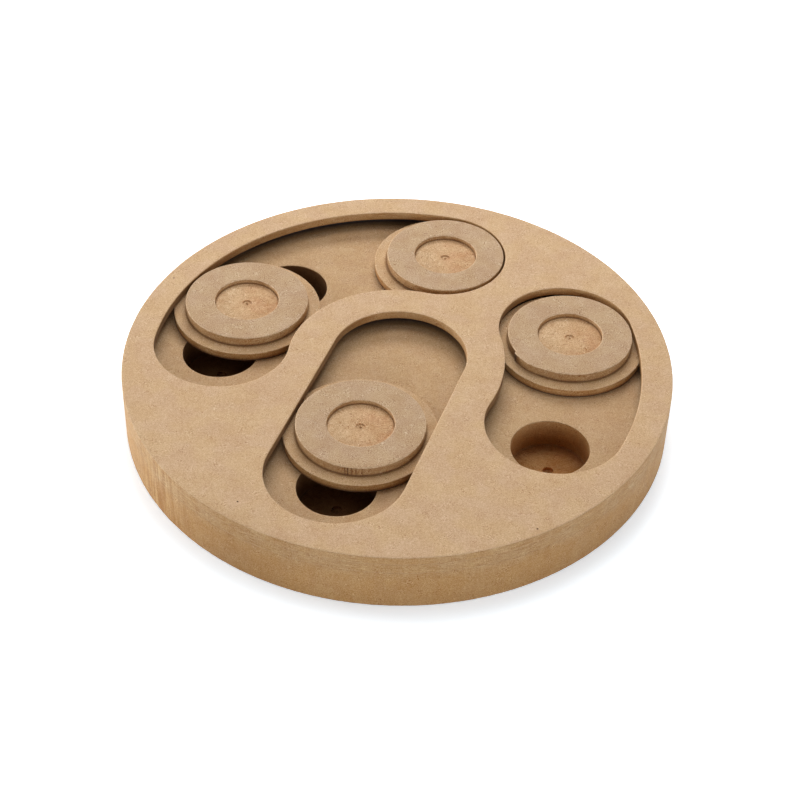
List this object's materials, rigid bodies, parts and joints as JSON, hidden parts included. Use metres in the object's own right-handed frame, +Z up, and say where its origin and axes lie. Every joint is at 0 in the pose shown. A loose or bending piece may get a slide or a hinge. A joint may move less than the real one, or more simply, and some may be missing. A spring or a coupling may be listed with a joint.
{
  "type": "dog puzzle feeder",
  "caption": "Round wooden puzzle feeder for a dog: treat wells in a thick disc, opened and closed by round sliders held in curved and straight tracks.",
  "frame": {"origin": "centre of the underside, on the surface that the feeder rests on", "axes": "+Z up through the disc; +X to the right and +Y to the back, with the straight track's open end pointing to -Y"},
  "size_m": [0.25, 0.25, 0.029],
  "materials": {
    "base_mdf": "matte",
    "top_mdf": "matte",
    "flange_mdf": "matte",
    "knob_mdf": "matte"
  },
  "bodies": {
    "body": {"base_board": "base_mdf", "track_board": "base_mdf", "top_board": "top_mdf"},
    "left_slider": {"left_slider_flange": "flange_mdf", "left_slider_knob": "knob_mdf"},
    "back_slider": {"back_slider_flange": "flange_mdf", "back_slider_knob": "knob_mdf"},
    "right_slider": {"right_slider_flange": "flange_mdf", "right_slider_knob": "knob_mdf"},
    "middle_slider": {"middle_slider_flange": "flange_mdf", "middle_slider_knob": "knob_mdf"}
  },
  "joints": [
    {"name": "left_slider_slide", "type": "hinge", "parent": "body", "child": "left_slider", "pos_m": [0, 0, 0.022], "axis": [0, 0, 1], "range_deg": [-9.6, 24.3]},
    {"name": "back_slider_slide", "type": "hinge", "parent": "body", "child": "back_slider", "pos_m": [0, 0, 0.022], "axis": [0, 0, 1], "range_deg": [-0.1, 16.8]},
    {"name": "right_slider_slide", "type": "hinge", "parent": "body", "child": "right_slider", "pos_m": [-0.02192, 0.00262, 0.022], "axis": [0, 0, 1], "range_deg": [-36.8, 2.7]},
    {"name": "middle_slider_slide", "type": "slide", "parent": "body", "child": "middle_slider", "axis": [-0.3124, -0.95, 0], "range_m": [-0.0514, 0.0339]}
  ]
}
